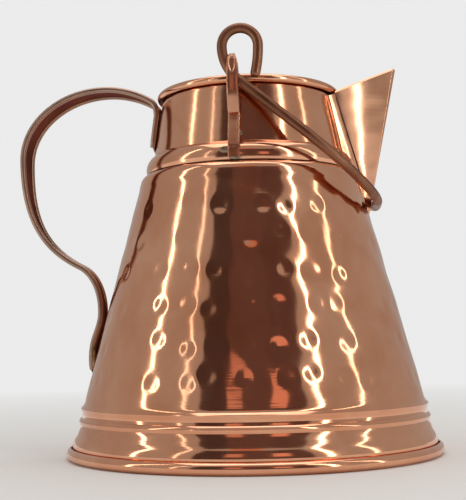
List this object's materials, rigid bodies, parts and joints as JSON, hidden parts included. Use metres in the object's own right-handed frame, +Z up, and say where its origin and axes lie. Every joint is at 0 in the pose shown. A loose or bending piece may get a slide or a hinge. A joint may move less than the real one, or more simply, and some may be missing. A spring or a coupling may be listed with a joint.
{
  "type": "watering can",
  "caption": "Hammered copper watering can with a flared body, open neck, folded V beak, strap side handle and a swinging wire bail.",
  "frame": {"origin": "on the can's axis, in the plane the can stands on", "axes": "+X towards the beak, -X towards the strap handle, +Z up, lugs on the -Y (front) and +Y (rear) sides"},
  "size_m": [0.2031, 0.1798, 0.1972],
  "materials": {
    "polished_copper": "polished, hammered",
    "worked_copper": "polished, brushed by hand",
    "wire_copper": "drawn wire, lightly tarnished",
    "tinned_sheet": "satin"
  },
  "bodies": {
    "can": {"body_shell": "polished_copper", "foot_wire": "wire_copper", "base_plate": "tinned_sheet", "neck_collar": "polished_copper", "rim_wire": "wire_copper", "beak_spout": "polished_copper", "handle_strap": "worked_copper", "lug_front": "worked_copper", "lug_rear": "worked_copper"},
    "bail": {"bail_wire": "wire_copper"}
  },
  "joints": [
    {"name": "bail_swing", "type": "hinge", "parent": "can", "child": "bail", "pos_m": [-0.0024, 0, 0.1822], "axis": [0, -1, 0], "range_deg": [0, 226.7]}
  ]
}
